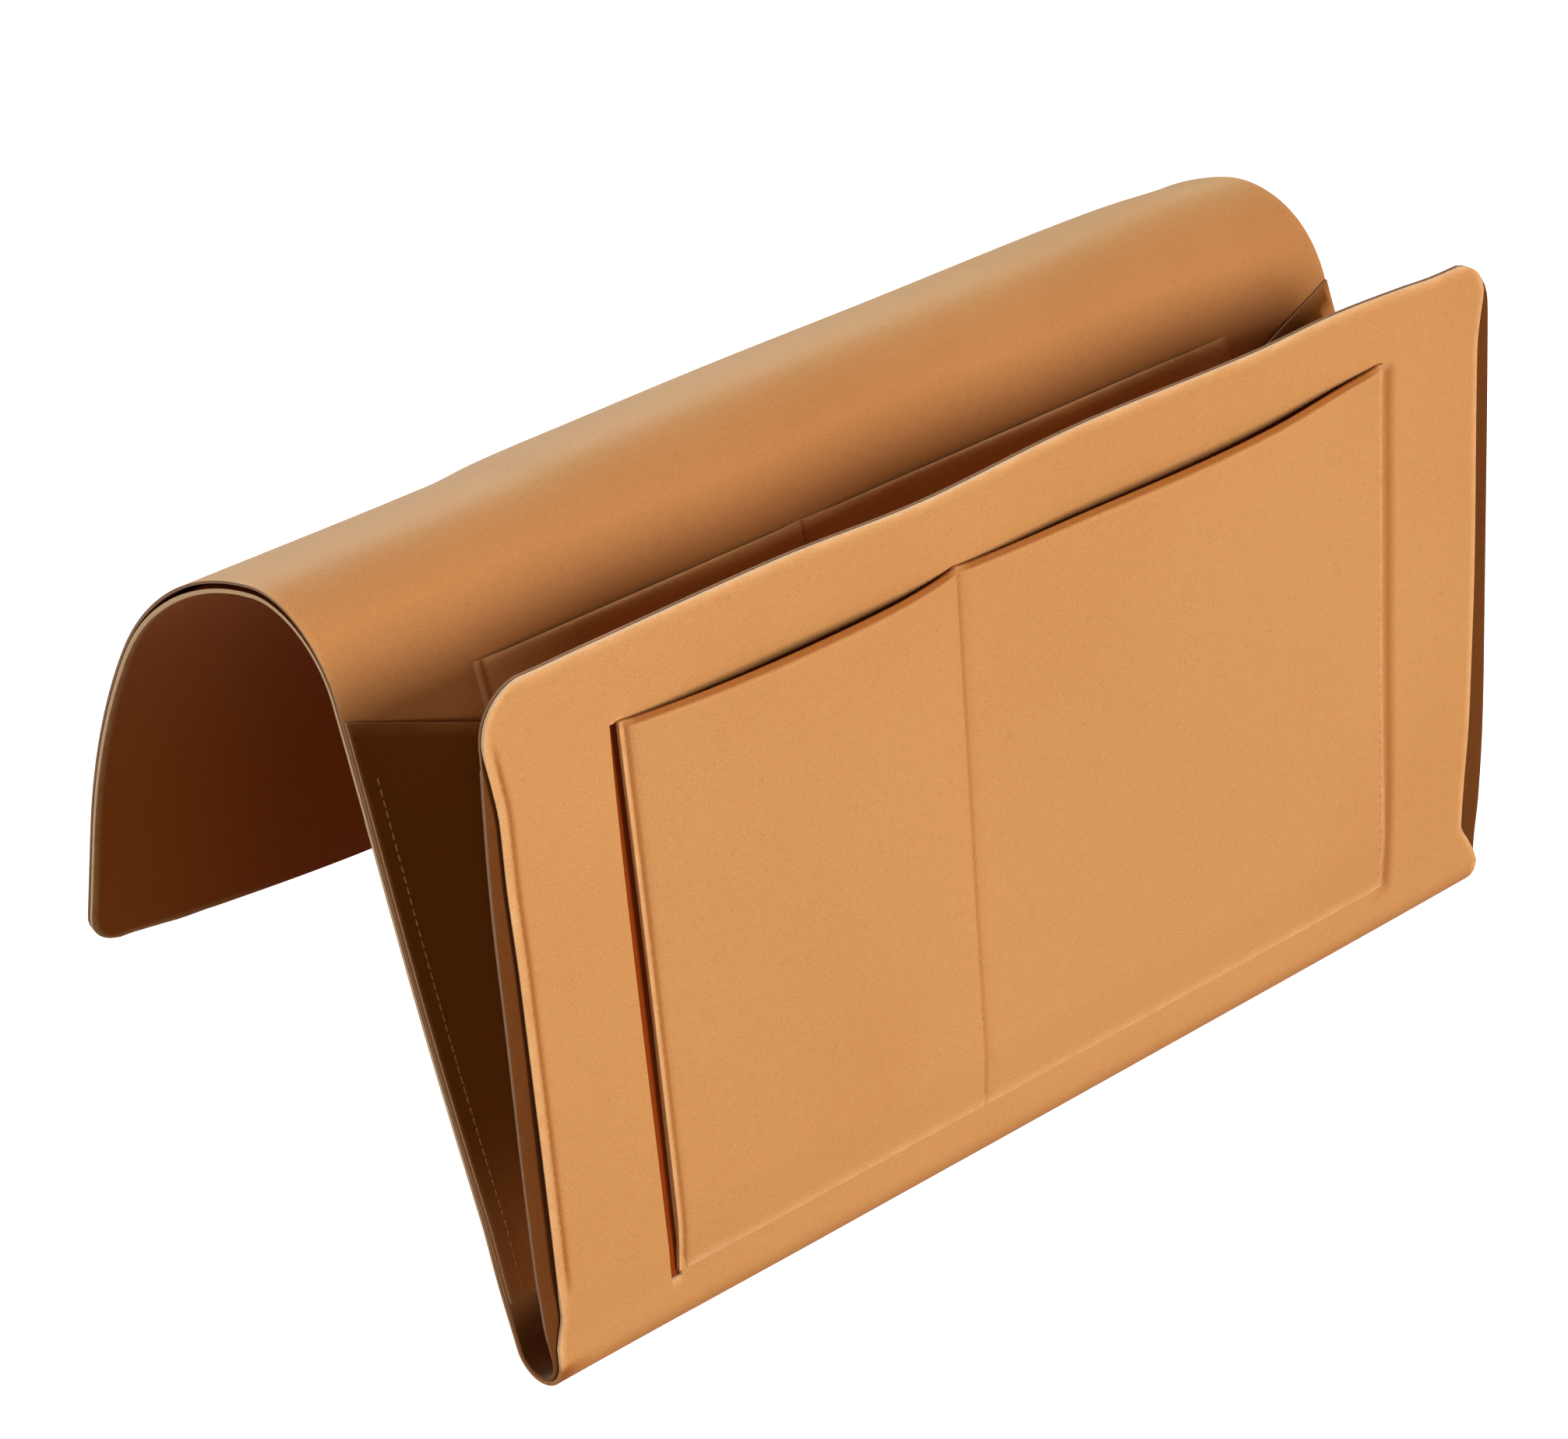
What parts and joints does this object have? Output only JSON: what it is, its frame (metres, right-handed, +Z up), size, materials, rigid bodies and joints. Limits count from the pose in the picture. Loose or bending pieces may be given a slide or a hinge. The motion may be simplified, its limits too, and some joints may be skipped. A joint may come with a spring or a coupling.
{
  "type": "armrest organizer",
  "caption": "Leather-cloth organizer that drapes over a sofa arm, with a folded magazine pocket with side gussets, and flat pockets on its leg and front panel.",
  "frame": {"origin": "middle of the saddle's underside, where the organizer rests on the sofa arm", "axes": "+X along the arm, -Y out of the front panel's face, +Z up"},
  "size_m": [0.4, 0.2632, 0.236],
  "materials": {
    "cover_leather": "smooth satin tan leather-cloth",
    "lining_leather": "smooth satin tan leather-cloth",
    "gusset_leather": "smooth satin brown tan leather-cloth",
    "thread": "matte tone-on-tone sewing thread"
  },
  "bodies": {
    "saddle": {"saddle_cover": "cover_leather", "saddle_lining": "lining_leather"},
    "rear_flap": {"rear_flap_cover": "cover_leather", "rear_flap_lining": "lining_leather"},
    "front_leg": {"front_leg_cover": "cover_leather", "front_leg_lining": "lining_leather", "bottom_fold_cover": "cover_leather", "bottom_fold_lining": "lining_leather", "inner_pocket": "lining_leather", "inner_pocket_left_thread": "thread", "inner_pocket_divider_thread": "thread", "inner_pocket_right_thread": "thread", "left_gusset_rear": "gusset_leather", "right_gusset_rear": "gusset_leather", "left_leg_seam_thread": "thread", "right_leg_seam_thread": "thread"},
    "front_panel": {"front_panel_back": "cover_leather", "front_panel_face": "lining_leather", "front_pocket": "lining_leather", "front_pocket_left_thread": "thread", "front_pocket_divider_thread": "thread", "front_pocket_right_thread": "thread", "left_gusset_tab": "gusset_leather", "right_gusset_tab": "gusset_leather", "left_panel_seam_thread": "thread", "right_panel_seam_thread": "thread"},
    "left_gusset": {"left_gusset_front": "gusset_leather"},
    "right_gusset": {"right_gusset_front": "gusset_leather"}
  },
  "joints": [
    {"name": "rear_flap_swing", "type": "hinge", "parent": "saddle", "child": "rear_flap", "pos_m": [0, 0.08703, -0.04868], "axis": [1, 0, 0], "range_deg": [-20, 30]},
    {"name": "front_leg_swing", "type": "hinge", "parent": "saddle", "child": "front_leg", "pos_m": [0, -0.03248, -0.02413], "axis": [1, 0, 0], "range_deg": [-30, 20]},
    {"name": "front_panel_fold", "type": "hinge", "parent": "front_leg", "child": "front_panel", "pos_m": [0, -0.10429, -0.2201], "axis": [1, 0, 0], "range_deg": [-12, 1.5]},
    {"name": "left_gusset_fold", "type": "hinge", "parent": "front_panel", "child": "left_gusset", "pos_m": [-0.1908, -0.10233, -0.20775], "axis": [0, 0, 1], "range_deg": [-33.5, 4.5]},
    {"name": "right_gusset_fold", "type": "hinge", "parent": "front_panel", "child": "right_gusset", "pos_m": [0.1908, -0.10233, -0.20775], "axis": [0, 0, -1], "range_deg": [-33.5, 4.5]}
  ],
  "couplings": [
    {"joint": "left_gusset_fold", "follows": "front_panel_fold", "ratio": 2.75},
    {"joint": "right_gusset_fold", "follows": "front_panel_fold", "ratio": 2.75}
  ]
}
